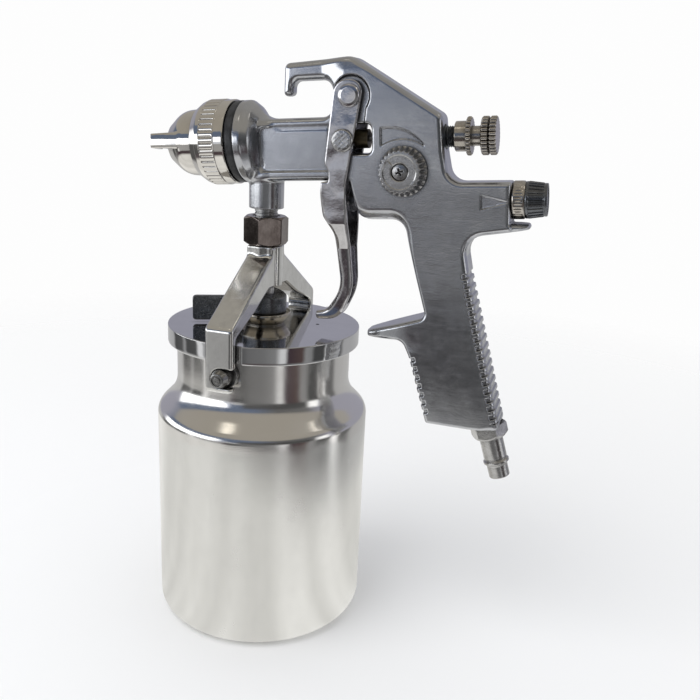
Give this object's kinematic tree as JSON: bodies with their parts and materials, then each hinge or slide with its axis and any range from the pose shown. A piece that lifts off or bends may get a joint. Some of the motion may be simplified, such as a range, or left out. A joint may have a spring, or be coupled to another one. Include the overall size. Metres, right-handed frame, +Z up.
{
  "type": "suction feed spray gun",
  "caption": "Suction-feed paint spray gun with hooked body, trigger, adjustable air cap, fan, fluid and air knobs, on a lidded aluminium cup held by a cam-locked yoke.",
  "frame": {"origin": "centre of the cup's flat base, on the cup's axis", "axes": "+Z up along the cup and suction tube, +X towards the grip, -X the way the spray leaves, +Y completes the frame; the barrel axis rises 4.4 degrees towards +X"},
  "size_m": [0.1848, 0.1072, 0.2766],
  "materials": {
    "cast_aluminium": "polished casting",
    "spun_aluminium": "satin with polished neck",
    "lid_aluminium": "polished",
    "yoke_aluminium": "polished casting",
    "nickel": "polished nickel plate",
    "chrome_plate": "polished chrome plate",
    "zinc_plate": "satin",
    "dark_steel": "dark satin",
    "steel": "plain",
    "plated_brass": "worn nickel plate",
    "brass": "machined",
    "black_rubber": "matte",
    "white_ptfe": "matte"
  },
  "bodies": {
    "gun": {"gun_body": "cast_aluminium", "fluid_tip": "steel", "air_baffle": "steel", "head_seal": "black_rubber", "needle_packing": "white_ptfe", "packing_nut": "brass", "needle_spring": "steel", "needle_sleeve": "dark_steel", "trigger_pivot_screw": "chrome_plate", "trigger_pivot_nut": "chrome_plate", "air_valve_gland": "dark_steel", "air_valve_seal": "white_ptfe", "air_valve_spring": "steel", "regulator_collar": "nickel", "inlet_nipple": "zinc_plate", "inlet_seal": "white_ptfe", "coupling_nut": "chrome_plate", "feed_stem": "steel", "suction_tube": "steel", "tube_nut": "plated_brass", "lid": "lid_aluminium", "lid_gasket": "white_ptfe"},
    "trigger": {"trigger": "chrome_plate", "trigger_pin": "zinc_plate"},
    "needle": {"fluid_needle": "steel", "needle_collar": "brass"},
    "air_valve": {"air_valve_stem": "steel"},
    "fluid_knob": {"needle_knob": "nickel"},
    "lock_nut": {"needle_lock_nut": "nickel"},
    "fan_valve": {"fan_knob": "zinc_plate", "fan_knob_screw": "dark_steel", "fan_valve_stem": "brass"},
    "regulator": {"regulator_knob": "dark_steel", "regulator_stem": "brass"},
    "air_cap": {"air_cap": "nickel"},
    "cap_ring": {"air_cap_ring": "nickel"},
    "cam": {"cam_lever": "dark_steel"},
    "yoke": {"yoke": "yoke_aluminium"},
    "cup": {"cup": "spun_aluminium", "cup_studs": "dark_steel", "stud_washers": "dark_steel"}
  },
  "joints": [
    {"name": "trigger_pull", "type": "hinge", "parent": "gun", "child": "trigger", "pos_m": [0.04215, 0, 0.26015], "axis": [0, -1, 0], "range_deg": [0, 11], "stiffness_Nm_per_rad": 1.2, "springref_deg": -20.05},
    {"name": "needle_slide", "type": "slide", "parent": "gun", "child": "needle", "axis": [0.9971, 0, 0.0767], "range_m": [0, 0.0038], "deforming": ["needle_spring"]},
    {"name": "air_valve_slide", "type": "slide", "parent": "gun", "child": "air_valve", "axis": [0.9971, 0, 0.0767], "range_m": [0, 0.0089], "deforming": ["air_valve_spring"]},
    {"name": "fluid_knob_turn", "type": "hinge", "parent": "gun", "child": "fluid_knob", "pos_m": [0.09971, 0, 0.24602], "axis": [0.9971, 0, 0.0767], "continuous": true},
    {"name": "lock_nut_turn", "type": "hinge", "parent": "gun", "child": "lock_nut", "pos_m": [0.09971, 0, 0.24602], "axis": [0.9971, 0, 0.0767], "range_deg": [0, 180]},
    {"name": "fan_knob_turn", "type": "hinge", "parent": "gun", "child": "fan_valve", "pos_m": [0.06779, 0, 0.22932], "axis": [0, 1, 0], "range_deg": [0, 110]},
    {"name": "regulator_turn", "type": "hinge", "parent": "gun", "child": "regulator", "pos_m": [0.12175, 0, 0.22024], "axis": [0.9971, 0, 0.0767], "range_deg": [0, 270]},
    {"name": "air_cap_turn", "type": "hinge", "parent": "gun", "child": "air_cap", "pos_m": [0.09971, 0, 0.24602], "axis": [0.9971, 0, 0.0767], "range_deg": [-90, 90]},
    {"name": "cap_ring_turn", "type": "hinge", "parent": "gun", "child": "cap_ring", "pos_m": [0.09971, 0, 0.24602], "axis": [0.9971, 0, 0.0767], "range_deg": [0, 180]},
    {"name": "cam_lever_swing", "type": "hinge", "parent": "gun", "child": "cam", "pos_m": [0, 0, 0.16], "axis": [0, 0, -1], "range_deg": [0, 85]},
    {"name": "yoke_drop", "type": "slide", "parent": "gun", "child": "yoke", "axis": [0, 0, -1], "range_m": [0, 0.0015]},
    {"name": "cup_twist", "type": "hinge", "parent": "yoke", "child": "cup", "pos_m": [0, 0, 0.05], "axis": [0, 0, 1], "range_deg": [0, 20]}
  ],
  "couplings": [
    {"joint": "needle_slide", "follows": "trigger_pull", "m_per_rad": 0.0193},
    {"joint": "air_valve_slide", "follows": "trigger_pull", "m_per_rad": 0.0459},
    {"joint": "cam_lever_swing", "follows": "yoke_drop", "rad_per_m": 988}
  ]
}
